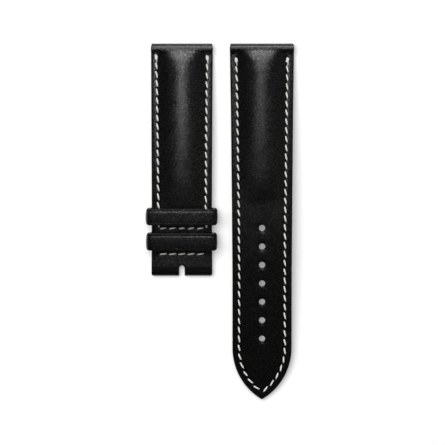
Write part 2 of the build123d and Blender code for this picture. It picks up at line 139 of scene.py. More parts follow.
def flowing(table, at):
    """A value on the smooth curve through the entries of a table."""
    for i, ((near, a), (far, b)) in enumerate(zip(table, table[1:])):
        if at <= far:
            before, after = table[max(i - 1, 0)], table[min(i + 2, len(table) - 1)]
            run = far - near
            first = run * (b - before[1]) / (far - before[0])
            last = run * (after[1] - a) / (after[0] - near)
            t = (at - near) / run
            square, cube = 3 * (b - a) - 2 * first - last, 2 * (a - b) + first + last
            return a + t * first + t**2 * square + t**3 * cube
    return table[-1][1]


def smooth_max(a, b, k):
    """The larger of two heights, rounded where they meet."""
    near = max(k - abs(a - b), 0) / k
    return max(a, b) + near * near * k / 4


def quarter(depth, radius):
    """How far a rounded edge falls below its surface at a depth in from the side."""
    inside = max(radius - depth, 0)
    return radius - sqrt(radius**2 - inside**2)


def ease(x):
    """0 to 1 without a kink at either end."""
    x = min(max(x, 0), 1)
    return x * x * (3 - 2 * x)


# A rolled end: where its middle lies, its radius, its bore, its neck's end, and the leather's foot and scarf
Roll = namedtuple("Roll", "middle radius bore neck foot scarf")


def touching(radius):
    """How far from its end a roll of a radius meets the ground."""
    return radius - sqrt(2 * radius * SINK)


class Strap:
    """One half of the strap: its bow, its plan, and the height of its top surface."""

    def __init__(self, body, x, bow_radius, length, sides, crown_end, last_foot, tape_end, seam_ends, rolls):
        first_foot = touching(LUG_ROLL)
        self.body, self.x, self.radius, self.length, self.sides = body, x, bow_radius, length, sides
        self.crown_end, self.tape_end, self.rolls = crown_end, tape_end, rolls
        self.seam_from, self.seam_to = seam_ends
        self.y = LUG_Y - (first_foot + last_foot) / 2
        self.z = -sqrt(bow_radius**2 - ((last_foot - first_foot) / 2) ** 2)
        self.tail = length == LONG_LENGTH
        self.tail_start = TAIL_START if self.tail else length + 1

    def point(self, across, distance, height):
        y = LUG_Y - distance
        return Vector((self.x + across, y, self.z + sqrt((self.radius + height) ** 2 - (y - self.y) ** 2)))

    def up(self, distance, height=0.0):
        lean = (LUG_Y - distance - self.y) / (self.radius + height)
        return Vector((0, lean, sqrt(1 - lean**2)))

    def half_width(self, distance):
        width = blended(self.sides, distance)
        if distance < 2:
            width -= 0.25 * (1 - distance / 2) ** 2
        if not self.tail and self.length - distance < 0.5:
            width -= 0.4 * (1 - (self.length - distance) / 0.5) ** 2
        return width

    def place(self, along, side, depth):
        """Across and distance of a point at a depth in from one edge."""
        if along <= self.tail_start:
            return side * (self.half_width(along) - depth), along
        radius = TAIL_RADIUS - depth
        angle = acos(TAIL_INSET / radius) * (along - self.tail_start) / TAIL_RUN
        across = max(radius * cos(angle) - TAIL_INSET, 0)
        distance = self.tail_start + radius * sin(angle)
        rounding = max(TIP_ROUND - depth, 0)
        if across < 0.51 * rounding:
            sharp = self.tail_start + sqrt(radius**2 - TAIL_INSET**2)
            distance = min(distance, sharp - 1.163 * rounding + sqrt(rounding**2 - across**2))
        return side * across, distance

    def crown(self, across, distance):
        """Height of the padded crown, which runs on below the border."""
        share = (distance - CROWN_START) / (self.crown_end - CROWN_START)
        rise = CROWN_RISE * flowing(CROWN_SHARES, min(max(share, 0), 1))
        rise *= 1 - ease((share - 0.94) / 0.16)
        power = LUG_POWER - (LUG_POWER - CROWN_POWER) * ease((distance - 1) / LUG_POWER_RUN)
        return BORDER - CROWN_SUNK + (rise + CROWN_SUNK) * (1 - abs(across / (CROWN_HALF + 0.35)) ** power)

    def roll_height(self, distance):
        """Height of a rolled end's outside, or far below where there is none."""
        for roll in self.rolls:
            centre = self.point(0, roll.middle, roll.radius - SINK)
            away = LUG_Y - distance - centre.y
            end = 0 if roll.middle < self.length / 2 else self.length
            if abs(away) < roll.radius and abs(distance - end) < roll.neck:
                z = centre.z + sqrt(roll.radius**2 - away**2)
                return hypot(LUG_Y - distance - self.y, z - self.z) - self.radius
        return -1.0

    def top(self, across, distance, depth):
        """Height of the top surface, whose border falls towards the edge."""
        outward = max(1 - depth / BORDER_WIDE, 0) ** 1.4
        height = smooth_max(BORDER - BORDER_FALL * outward, self.crown(across, distance), CROWN_SOFT)
        height = smooth_max(height, self.roll_height(distance), ROLL_SOFT)
        if not self.tail and RAMP_FROM < distance < RAMP_TO:
            run = distance - RAMP_FROM
            fall = BORDER_FALL * (1 - run / (RAMP_TO - RAMP_FROM))
            rise = RAMP_SLOPE * (run - RAMP_EASE * (1 - exp(-run / RAMP_EASE)))
            height = max(height, BORDER - fall * outward + rise)
        if self.seam_from < distance < self.seam_to:
            height -= GROOVE * exp(-(((depth - self.seam_inset(distance)) / GROOVE_WIDE) ** 2))
        return height - quarter(depth, EDGE_ROUND)

    def seam_inset(self, distance):
        return LONG_INSET if self.tail else blended([(3, 1.65), (59.4, 2.05)], distance)


lug = Roll(LUG_ROLL, LUG_ROLL, 1.0, 3.6, 4.0, 5.4)
buckle = Roll(SHORT_LENGTH - BUCKLE_ROLL, BUCKLE_ROLL, 0.8, 3.2, SHORT_LENGTH - 3.8, SHORT_LENGTH - 5.0)
short_sides = [(0, 10), (20, 9.85), (52, 9.7), (75, 9.8)]
long_sides = [(0, 10.4), (21, 10.05), (52, 9.725), (75, 9.55), (116, 9.55)]
short = Strap(
    "short_piece", -12.375, 230, SHORT_LENGTH, short_sides, crown_end=56,
    last_foot=SHORT_LENGTH - touching(BUCKLE_ROLL), tape_end=57.5, seam_ends=(3.0, 59.4), rolls=[lug, buckle],
)
long = Strap(
    "long_piece", 13.475, 300, LONG_LENGTH, long_sides, crown_end=52,
    last_foot=LONG_LENGTH, tape_end=106, seam_ends=(LONG_SEAM_START, 116), rolls=[lug],
)

# Materials


class Nodes:
    """A material with even values on the shader's own sockets, and short calls for wiring it."""

    def __init__(self, name, colour, roughness, **sockets):
        self.made = bpy.data.materials.new(name)
        self.made.use_nodes = True
        self.made.diffuse_color = (*colour, 1)
        self.tree = self.made.node_tree
        self.shader = self.tree.nodes["Principled BSDF"]
        self.shader.inputs["Base Color"].default_value = (*colour, 1)
        self.shader.inputs["Roughness"].default_value = roughness
        for socket, value in sockets.items():
            self.shader.inputs[socket.replace("_", " ")].default_value = value
        self.place = self.new("TexCoord", {}).outputs["Object"]

    def new(self, kind, inputs, **values):
        """A node with its settings, and with each of its inputs linked or set."""
        node = self.tree.nodes.new("ShaderNode" + kind)
        for key, value in values.items():
            setattr(node, key, value)
        for socket, value in inputs.items():
            if isinstance(value, bpy.types.NodeSocket):
                self.tree.links.new(value, node.inputs[socket])
            else:
                node.inputs[socket].default_value = value
        return node

    def scaled(self, scale, turn=(0, 0, 0)):
        inputs = {"Vector": self.place, "Scale": scale, "Rotation": turn}
        return self.new("Mapping", inputs).outputs["Vector"]

    def noise(self, vector, scale, detail=3.0, rough=0.5):
        inputs = {"Vector": vector, "Scale": scale, "Detail": detail, "Roughness": rough}
        return self.new("TexNoise", inputs).outputs["Fac"]

    def cells(self, vector, scale):
        inputs = {"Vector": vector, "Scale": scale}
        return self.new("TexVoronoi", inputs, feature="DISTANCE_TO_EDGE").outputs["Distance"]

    def steps(self, value, low, high, to_low=0.0, to_high=1.0):
        inputs = {"Value": value, "From Min": low, "From Max": high, "To Min": to_low, "To Max": to_high}
        return self.new("MapRange", inputs, interpolation_type="SMOOTHSTEP").outputs["Result"]

    def math(self, kind, a, b):
        return self.new("Math", {0: a, 1: b}, operation=kind).outputs["Value"]

    def mixed(self, value, low, high):
        inputs = {"Factor": value, "A": (*low, 1), "B": (*high, 1)}
        return self.new("Mix", inputs, data_type="RGBA").outputs["Result"]

    def bump(self, height, distance, under=None):
        inputs = {"Height": height, "Distance": distance * MM, "Strength": 1}
        if under:
            inputs["Normal"] = under
        return self.new("Bump", inputs).outputs["Normal"]

    def finish(self, **sockets):
        for socket, value in sockets.items():
            self.tree.links.new(value, self.shader.inputs[socket.replace("_", " ")])
        return self.made



def grained_leather(name, grain, wrinkle):
    """Black satin calf with fine pebbles, pores and creases across the strap."""
    n = Nodes(name, (0.003, 0.003, 0.003), 0.25)
    flat = n.place
    drift = n.noise(flat, 180, 2)
    pebbles = n.steps(n.cells(flat, 1250), 0.0, 0.4)
    pores = n.steps(n.noise(flat, 3600, 2, 0.6), 0.35, 0.65)
    creases = n.steps(n.noise(n.scaled((350, 2600, 600)), 1.0, 3, 0.55), 0.42, 0.62)
    patches = n.steps(n.noise(flat, 130, 2), 0.45, 0.62)
    grain_height = n.math("ADD", n.math("MULTIPLY", pebbles, 0.7), n.math("MULTIPLY", pores, 0.3))
    normal = n.bump(n.math("MULTIPLY", creases, patches), wrinkle)
    normal = n.bump(grain_height, grain, normal)
    colour = n.mixed(n.math("MULTIPLY", pebbles, drift), (0.0015, 0.0015, 0.0015), (0.0035, 0.0035, 0.0034))
    roughness = n.steps(n.math("ADD", drift, n.math("MULTIPLY", pores, 0.2)), 0.3, 0.9, 0.25, 0.31)
    shine = n.steps(grain_height, 0.2, 0.7, 0.32, 0.7)
    return n.finish(Base_Color=colour, Roughness=roughness, Normal=normal, Specular_IOR_Level=shine)


def edge_paint_and_shade():
    """Painted cut edges, rubbed smooth; also laid on the buckle's roll as painted shade."""
    n = Nodes("edge_paint_and_shade", (0.002, 0.002, 0.002), 0.42, Specular_IOR_Level=0.1)
    ripple = n.noise(n.scaled((300, 300, 900)), 1.0, 3)
    colour = n.mixed(ripple, (0.001, 0.001, 0.001), (0.003, 0.003, 0.0029))
    return n.finish(Base_Color=colour, Normal=n.bump(ripple, 0.05))


def suede(name, dark, pale, fibre):
    """Lining and flesh side: short matt fibres."""
    n = Nodes(name, pale, 0.85, Specular_IOR_Level=0.25, Sheen_Weight=0.25, Sheen_Roughness=0.5)
    flat = n.place
    nap = n.noise(flat, 2600, 4, 0.65)
    cloud = n.noise(flat, 160, 2)
    blend = n.math("ADD", n.math("MULTIPLY", nap, 0.6), n.math("MULTIPLY", cloud, 0.4))
    return n.finish(Base_Color=n.mixed(n.steps(blend, 0.3, 0.7), dark, pale), Normal=n.bump(nap, fibre))


def thread(name, dark, pale):
    """Waxed twisted thread with fine filaments."""
    n = Nodes(name, pale, 0.5, Sheen_Weight=0.2, Sheen_Roughness=0.4)
    fibres = n.noise(n.scaled((2600, 700, 2600), (0, 0, 0.5)), 1.0, 3, 0.6)
    return n.finish(Base_Color=n.mixed(n.steps(fibres, 0.3, 0.7), dark, pale), Normal=n.bump(fibres, 0.04))


def woven_tape():
    """Plain-woven tape."""
    n = Nodes("woven_tape", (0.62, 0.61, 0.57), 0.8)
    inputs = {"Vector": n.place, "Scale": 700}
    warp, weft = (n.new("TexWave", inputs, bands_direction=way, wave_profile="SIN") for way in "XY")
    weave = n.math("MULTIPLY", warp.outputs["Fac"], weft.outputs["Fac"])
    colour = n.mixed(weave, (0.42, 0.41, 0.38), (0.68, 0.67, 0.63))
    return n.finish(Base_Color=colour, Normal=n.bump(weave, 0.06))


def felt():
    """Pressed wool felt."""
    n = Nodes("felt", (0.35, 0.34, 0.32), 0.95, Sheen_Weight=0.4)
    wool = n.noise(n.place, 1500, 5, 0.7)
    colour = n.mixed(wool, (0.2, 0.195, 0.185), (0.42, 0.41, 0.39))
    return n.finish(Base_Color=colour, Normal=n.bump(wool, 0.12))


strap_leather = grained_leather("strap_leather", 0.027, 0.012)
keeper_leather = grained_leather("keeper_leather", 0.04, 0.01)
paint = edge_paint_and_shade()
lining_leather = suede("lining_leather", (0.018, 0.017, 0.016), (0.04, 0.038, 0.036), 0.05)
flesh = suede("flesh_side", (0.012, 0.011, 0.01), (0.03, 0.028, 0.026), 0.06)
white_thread = thread("white_thread", (0.6, 0.6, 0.56), (0.8, 0.8, 0.77))
# A greyed copy of the white thread, as painted shade on stitches that sit low or under the keepers
painted_shade_thread = thread("white_thread_painted_shade", (0.4, 0.4, 0.37), (0.58, 0.58, 0.55))
black_thread = thread("black_thread", (0.006, 0.006, 0.006), (0.016, 0.016, 0.016))
tape_weave = woven_tape()
pad_felt = felt()

# Stitches: where each one lies, as across, distance and heading

# The short piece's seams by side: where each starts and ends, its stitches, and its inset from the edge
SHORT_SEAMS = {
    -1: (3.0, 59.4, 20, [(3, 1.66), (14, 1.9), (46, 2.14), (60, 2.2)]),
    1: (3.35, 57.5, 19, [(3, 1.73), (14, 1.86), (30, 1.92), (60, 1.95)]),
}
# Each seam's last stitch lies in the gap below the floating keeper
LEFT_LAST_SHIFT, RIGHT_LAST, RIGHT_LAST_INSET = 0.4, 58.4, 1.95
# The long piece's seams by side: the gap before the tip, their stitches, and their drift inwards
LONG_SEAMS = {
    -1: (0.75, 38, [(4, -0.05), (36, 0.05), (60, 0.13), (TAIL_START, 0.08), (115, 0)]),
    1: (0.05, 39, [(4, -0.05), (36, 0.05), (60, 0.19), (TAIL_START, 0.08), (115, 0)]),
}
CROSS_SEAMS = {"upper_cross_seam": SHORT_LENGTH - 15.3, "lower_cross_seam": SHORT_LENGTH - 7.0}


def short_seam(side):
    start, end, count, insets = SHORT_SEAMS[side]
    for index in range(count):
        distance = start + (end - start) * (index + 0.5) / count
        inset = blended(insets, distance)
        if side < 0 and index == count - 1:
            distance += LEFT_LAST_SHIFT
        yield side * (blended(short.sides, distance) - inset), distance, SLANT - pi / 2
    if side > 0:
        yield blended(short.sides, RIGHT_LAST) - RIGHT_LAST_INSET, RIGHT_LAST, SLANT - pi / 2


def long_seam(side):
    radius = TAIL_RADIUS - LONG_INSET
    straight = TAIL_START - LONG_SEAM_START
    gap, count, drifts = LONG_SEAMS[side]
    run = straight + radius * acos(TAIL_INSET / radius) - gap
    for index in range(count):
        along = run * (index + 0.5) / count
        angle = max(along - straight, 0) / radius
        distance = LONG_SEAM_START + min(along, straight) + radius * sin(angle)
        inset = LONG_INSET + blended(drifts, distance)
        across = blended(long.sides, distance) - inset - radius * (1 - cos(angle))
        yield side * across, distance, SLANT - pi / 2 - side * angle


def cross_seam(distance):
    for index in range(5):
        yield (index - 2) * 3.0, distance, radians(8)


seams = {
    "short_left_seam": (short, list(short_seam(-1)), STITCH),
    "short_right_seam": (short, list(short_seam(1)), STITCH),
    **{name: (short, list(cross_seam(distance)), CROSS_STITCH) for name, distance in CROSS_SEAMS.items()},
    "long_seam": (long, [*long_seam(-1), *long_seam(1)], STITCH),
}


def needle_holes(strap):
    """A lookup of one half's needle holes."""
    spots = []
    for owner, stitches, length in seams.values():
        if owner is strap:
            for across, distance, heading in stitches:
                for end in (-length / 2, length / 2):
                    spots.append((across + end * cos(heading), distance - end * sin(heading), 0))
    tree = KDTree(len(spots))
    for index, spot in enumerate(spots):
        tree.insert(spot, index)
    tree.balance()
    return tree


def dent(strap, across, distance, depth):
    """How far the nearest needle hole pulls the leather in."""
    gap = strap.needle_holes.find((across, distance, 0))[2]
    return depth * exp(-((gap / DENT_WIDE) ** 2))


for strap in (short, long):
    strap.needle_holes = needle_holes(strap)

# Meshes


def make_object(name, bm, materials, body=None, node=None, sharp=SHARP):
    """Turns a mesh in millimetres into a piece that stands for a CAD node."""
    bmesh.ops.remove_doubles(bm, verts=bm.verts, dist=0.0004)
    bmesh.ops.dissolve_degenerate(bm, edges=bm.edges, dist=0.0002)
    bmesh.ops.recalc_face_normals(bm, faces=bm.faces)
    mesh = bpy.data.meshes.new(name)
    bm.to_mesh(mesh)
    bm.free()
    mesh.transform(Matrix.Scale(MM, 4))
    for each in materials:
        mesh.materials.append(each)
    mesh.shade_smooth()
    mesh.set_sharp_from_angle(angle=radians(sharp))
    obj = bpy.data.objects.new(name, mesh)
    bpy.context.scene.collection.objects.link(obj)
    if body:
        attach(obj, body)
        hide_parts(node)
    return obj


def face(bm, corners, index=0):
    """A face between corners, without repeated ones."""
    kept = [v for i, v in enumerate(corners) if v is not corners[i - 1]]
    if len(set(kept)) > 2:
        made = bm.faces.new(kept)
        made.material_index = index


def make_piece(strap, name, bm, materials, node):
    """A piece of one half, named after it."""
    side = "long_" if strap.tail else "short_"
    return make_object(side + name, bm, materials, strap.body, side + node)


def band_of(rows, columns):
    return [(row, column) for row in range(rows - 1) for column in range(columns - 1)]


def corners_of(grid, row, column):
    return [*grid[row][column : column + 2], *grid[row + 1][column : column + 2][::-1]]


def first_from(places, distance):
    """The first of some places that isn't before a distance."""
    return next(i for i, place in enumerate(places) if place >= distance - NEAR)


def stations(strap, extra=()):
    """Places along the piece between the rolls' middles, or to the tip."""
    first = strap.rolls[0].middle
    last = TAIL_START + TAIL_RUN if strap.tail else strap.rolls[1].middle
    marks = sorted({first, last, *extra})
    places = [first]
    for near, far in zip(marks, marks[1:]):
        count = max(ceil((far - near) / ROW_STEP), 1)
        places += [near + (far - near) * (i + 1) / count for i in range(count)]
    if strap.tail:
        places = places[:-1] + [last - 0.2, last - 0.13, last - 0.06, last]
    return places


# Depths of the columns along each edge, how many are painted, and the depth given to the rest
BAND = [0, 0.03, 0.09, 0.18, 0.28, 0.4, 0.7, 1.0, 1.2, 1.38]
BAND += [1.54, 1.7, 1.85, 2.0, 2.15, 2.32, 2.5, 2.75, 3.05, 3.4]
PAINTED_COLUMNS, INNER_DEPTH = 3, 9.0
PAD_COLUMNS = [5.2, 3.9, 2.6, 1.3, 0]


def columns_of(strap):
    """Columns as a side and a depth, or as a share of the way to the inner band."""
    if strap.tail:
        shares = [i / 9 for i in range(-8, 9)]
    else:
        half = [0.07, 0.125, 0.141, 0.155, 0.18, 0.22, 0.3, 0.4, 0.52, 0.64, 0.76, 0.88]
        shares = [-s for s in reversed(half)] + [0] + half
    left, right = [[(side, depth, None) for depth in BAND] for side in (-1, 1)]
    return left + [(0, None, s) for s in shares] + right[::-1]


def column_place(strap, along, column):
    """Across, distance and depth of one column at a station."""
    side, depth, share = column
    if side:
        return *strap.place(along, side, depth), depth
    across, distance = strap.place(along, 1, BAND[-1])
    return share * across, distance, INNER_DEPTH


def slot_fall(strap, across, distance):
    """How far the leather falls towards the tongue's slot."""
    if strap.tail or distance < SLOT_MARKS[0] - SLOT_ROUND:
        return 0
    inner = strap.length - SLOT_DEPTH + SLOT_RADIUS
    away = (abs(across) if distance > inner else hypot(across, distance - inner)) - SLOT_RADIUS
    return quarter(max(away, 0), SLOT_ROUND)


def top_height(strap, across, distance, depth):
    height = strap.top(across, distance, depth) - slot_fall(strap, across, distance)
    height -= dent(strap, across, distance, NEEDLE_DENT)
    wander = noise.noise(Vector((across / 3.1, distance / 2.3, strap.x)))
    return height + WANDER * wander * min(depth, 1)


def under_height(strap, across, distance):
    """The top leather's hidden underside, over lining, tape, padding or fixed keeper."""
    if not strap.tail and FIXED_FROM < distance < FIXED_TO:
        return LINING + 0.5
    height = LINING
    if abs(across) < TAPE_HALF + 0.02 and TAPE_START < distance < strap.tape_end:
        height += TAPE
    if PAD_START < distance < strap.crown_end - PAD_END_GAP and abs(across) < PAD_HALF:
        top = strap.crown(0, distance) - SKIN
        height = max(height, LINING + (top - LINING) * (1 - (across / PAD_HALF) ** 2))
    return height


def hole_ring(strap, bm, distance, radius, depth):
    """A ring of points round a tongue hole, at a depth below the border."""
    up = strap.up(distance, BORDER)
    middle = strap.point(0, distance, BORDER) - up * depth
    across, on = Vector((radius, 0, 0)), Vector((0, -up.z, up.y)) * radius
    angles = [2 * pi * i / HOLE_SIDES for i in range(HOLE_SIDES)]
    return [bm.verts.new(middle + across * cos(a) + on * sin(a)) for a in angles]


def join(bm, first, second, index=0):
    """Quads between two open rows of the same count."""
    for i in range(len(first) - 1):
        face(bm, [first[i], first[i + 1], second[i + 1], second[i]], index)


def bridge(bm, first, second, index=0):
    """Quads between two closed rings of the same count."""
    join(bm, first + first[:1], second + second[:1], index)


def hole_wall(strap, bm, hole, table):
    """Rings that lead down through a tongue hole, the lowest band of them in flesh."""
    rings = [hole_ring(strap, bm, hole, radius, depth) for radius, depth in table]
    for a, b in zip(rings, rings[1:]):
        bridge(bm, a, b, 2 if b is rings[-1] else 0)
    return rings[0], rings[-1]


def hole_at(places, row, rings):
    """The tongue hole, if any, that begins after a row, and the next row."""
    for hole in rings:
        if places[row] < hole - HOLE_CLEAR <= places[row + 1]:
            return hole, next(i for i in range(row, len(places)) if places[i] > hole + HOLE_CLEAR)
    return None, row + 1


def fill_round(bm, outer, inner, index=0):
    """Faces between an outer loop and a ring inside it."""
    edges = []
    for loop in (outer, inner):
        for a, b in zip(loop, loop[1:] + loop[:1]):
            edges.append(bm.edges.get((a, b)) or bm.edges.new((a, b)))
    made = bmesh.ops.triangle_fill(bm, use_beauty=True, edges=edges)
    for item in made["geom"]:
        if isinstance(item, bmesh.types.BMFace):
            item.material_index = index


def ruled(bm, places, left, right, rings, index=0):
    """A surface that is straight across and open where tongue holes pass."""
    row = 0
    while row < len(places) - 1:
        hole, end = hole_at(places, row, rings)
        if hole is None:
            face(bm, [left[row], left[end], right[end], right[row]], index)
        else:
            fill_round(bm, left[row : end + 1] + right[row : end + 1][::-1], rings[hole], index)
        row = end


# The rows round a rolled end, the points round its tunnel, and its heel's rows
ROLL_STEPS, TUNNEL_SIDES, HEEL_STEPS = 25, 24, (0.6, 1.2)


def rolled_end(strap, bm, roll, out, columns, caps, heel):
    """A rolled end, its heel and its tunnel, from the rows of its sides, the end's row last."""
    centre = strap.point(0, roll.middle, roll.radius - SINK)
    sheet = [caps[-1]]
    for step in range(1, ROLL_STEPS + 1):
        angle = pi / 2 - step * pi / ROLL_STEPS
        distance = LUG_Y - centre.y - out * roll.radius * cos(angle)
        sheet.append([])
        for column in columns:
            across, _, depth = column_place(strap, min(max(distance, 0), strap.length), column)
            reach = roll.radius - quarter(depth, 0.16) - slot_fall(strap, across, distance)
            if angle > 0:
                extra = strap.top(across, roll.middle, INNER_DEPTH) - strap.roll_height(roll.middle)
                reach += extra * ease(sin(angle))
            y, z = centre.y + out * reach * cos(angle), centre.z + reach * sin(angle)
            below = hypot(y - strap.y, z - strap.z) < strap.radius
            spot = strap.point(across, LUG_Y - y, 0) if below else (strap.x + across, y, z)
            sheet[-1].append(bm.verts.new(spot))
    for distance in (*(roll.middle + out * step for step in HEEL_STEPS), roll.foot):
        spots = [column_place(strap, distance, column) for column in columns]
        sheet.append([bm.verts.new(strap.point(a, distance, quarter(d, EDGE_ROUND))) for a, _, d in spots])
    sheet.append(heel)
    for r, c in band_of(len(sheet), len(columns)):
        # The buckle's roll takes the edge paint all over as painted shade; the lug's roll takes it only at
        # its painted edges
        dark = out < 0 or min(c, len(columns) - 2 - c) < PAINTED_COLUMNS
        face(bm, corners_of(sheet, r, c), 2 if r == len(sheet) - 2 else 1 if dark else 0)
    tunnel = []
    for side, column in ((-1, 0), (1, -1)):
        rings = []
        for radius, inward in ((roll.bore + 0.1, 0), (roll.bore, 0.14)):
            rings.append([])
            for i in range(TUNNEL_SIDES):
                angle = 2 * pi * i / TUNNEL_SIDES
                y = centre.y + radius * cos(angle)
                half = strap.half_width(min(max(LUG_Y - y, 0), strap.length)) - inward
                rings[-1].append(bm.verts.new((strap.x + side * half, y, centre.z + radius * sin(angle))))
        bridge(bm, *rings, 1)
        tunnel.append(rings[1])
        fill_round(bm, [row[column] for row in caps + sheet[1:]], rings[0], 1)
    bridge(bm, *tunnel, 2)


# The rings of a tongue hole in the top leather, as radius and depth
TOP_RINGS = [(1.5, 0), (1.3, 0.01), (1.17, 0.04), (1.08, 0.09), (1.02, 0.17), (1, 0.3), (1, BORDER - LINING)]


def top_leather(strap):
    """The leather over one half, with its rolled ends, tongue holes and painted edges."""
    bm = bmesh.new()
    marks = [roll.scarf for roll in strap.rolls] + [TAPE_START, PAD_START, strap.crown_end - PAD_END_GAP]
    if not strap.tail:
        marks += [strap.tape_end, *SLOT_MARKS]
        marks += [edge + step for edge in (FIXED_FROM, FIXED_TO) for step in (-0.01, 0.01)]
    places = stations(strap, marks)
    columns = columns_of(strap)
    width = len(columns)
    spots = [[column_place(strap, along, column) for column in columns] for along in places]
    grid = [[bm.verts.new(strap.point(*spot[:2], top_height(strap, *spot))) for spot in row] for row in spots]

    # Tongue holes: the grid opens round each one, and rings lead down through it
    open_faces = set()
    bottom_rings = {}
    if strap.tail:
        left, right = width // 2 - 3, width // 2 + 3
        for hole in HOLES:
            rows = [i for i, along in enumerate(places) if abs(along - hole) < HOLE_OPEN]
            low, high = rows[0], rows[-1]
            open_faces |= {(r, c) for r in range(low, high) for c in range(left, right)}
            outline = grid[low][left:right] + [grid[r][right] for r in range(low, high)]
            outline += grid[high][right:left:-1] + [grid[r][left] for r in range(high, low, -1)]
            top_ring, bottom_rings[hole] = hole_wall(strap, bm, hole, TOP_RINGS)
            fill_round(bm, outline, top_ring)
    for row, column in band_of(len(places), width):
        if (row, column) not in open_faces:
            edge = min(column, width - 2 - column) < PAINTED_COLUMNS
            # Past a set distance near the buckle's roll, faces take the edge paint as painted shade
            painted_shade = not strap.tail and places[row] > PAINTED_SHADE_FROM
            face(bm, corners_of(grid, row, column), 1 if edge or painted_shade else 0)

    # The hidden underside
    def under_row(along):
        half = strap.place(along, 1, 0)[0]
        acrosses = [half]
        if TAPE_START - 0.1 < along < strap.tape_end + 0.1:
            acrosses += [PAD_HALF, TAPE_HALF + 0.05, TAPE_HALF]
            if PAD_START - 0.1 < along < strap.crown_end - PAD_END_GAP + 0.1:
                acrosses += PAD_COLUMNS
        acrosses = [a for a in acrosses if a <= half]
        return [-a for a in acrosses] + [a for a in reversed(acrosses) if a]

    start = first_from(places, strap.rolls[0].scarf)
    end = len(places) - 1 if strap.tail else first_from(places, strap.rolls[1].scarf)
    under = {}
    for i in range(start, end + 1):
        distance = strap.place(places[i], 1, 0)[1]
        if i in (start, end) and not (strap.tail and i == end):
            under[i] = [bm.verts.new(strap.point(a, distance, LINING)) for a, _, _ in spots[i]]
        else:
            row = [strap.point(a, distance, under_height(strap, a, distance)) for a in under_row(places[i])]
            under[i] = [bm.verts.new(point) for point in row]
    i = start
    while i < end:
        hole, stop = hole_at(places, i, bottom_rings)
        if hole is not None:
            centre = len(under[i]) // 2
            for j in range(i, stop):
                join(bm, under[j][:centre], under[j + 1][:centre], 2)
                join(bm, under[j][centre:], under[j + 1][centre:], 2)
            passed = range(i, stop + 1)
            outer = [under[j][centre - 1] for j in passed] + [under[j][centre] for j in reversed(passed)]
            fill_round(bm, outer, bottom_rings[hole], 2)
        elif len(under[i]) == len(under[stop]):
            join(bm, under[i], under[stop], 2)
        else:
            face(bm, under[i] + under[stop][::-1], 2)
        i = stop
    for side in (0, -1):
        covered = range(start, end + 1)
        join(bm, [grid[i][side] for i in covered], [under[i][side] for i in covered], 1)

    rolled_end(strap, bm, strap.rolls[0], 1, columns, grid[start::-1], under[start])
    if not strap.tail:
        rolled_end(strap, bm, strap.rolls[1], -1, columns, grid[end:], under[end])
    made = make_piece(strap, "leather", bm, [strap_leather, paint, flesh], "top_leather")
    if not strap.tail:
        cut(made, tongue_slot())


def cut(obj, cutter):
    """Cuts one object's shape out of another, with its own material on the cut."""
    change = obj.modifiers.new("cut", "BOOLEAN")
    change.operation, change.solver = "DIFFERENCE", "EXACT"
    change.object, change.material_mode = cutter, "TRANSFER"
    evaluated = obj.evaluated_get(bpy.context.evaluated_depsgraph_get())
    mesh = bpy.data.meshes.new_from_object(evaluated)
    obj.modifiers.clear()
    old, obj.data = obj.data, mesh
    mesh.name = obj.name
    bpy.data.meshes.remove(old)
    bpy.data.objects.remove(cutter)
    mesh.set_sharp_from_angle(angle=radians(SHARP))


def tongue_slot():
    """The slot for the buckle's tongue."""
    bm = bmesh.new()
    inner = short.length - SLOT_DEPTH + SLOT_RADIUS
    angles = [pi * i / 20 for i in range(21)]
    outline = [(SLOT_RADIUS * cos(a), inner - SLOT_RADIUS * sin(a)) for a in angles]
    outline += [(-SLOT_RADIUS, short.length + 1), (SLOT_RADIUS, short.length + 1)]
    low = [bm.verts.new(short.point(a, d, -1)) for a, d in outline]
    high = [bm.verts.new(short.point(a, d, 6)) for a, d in outline]
    bridge(bm, low, high)
    face(bm, low[::-1])
    face(bm, high)
    return make_object("tongue_slot", bm, [paint])


LINING_BAND = [0, 0.05, 0.14, 0.25, 0.38, 1.3, 1.6, 1.85, 2.1, 2.35, 2.6]
LINING_RINGS = (1.12, BORDER), (1.03, BORDER - 0.05), (1.0, BORDER - 0.15), (1.0, BORDER - LINING)


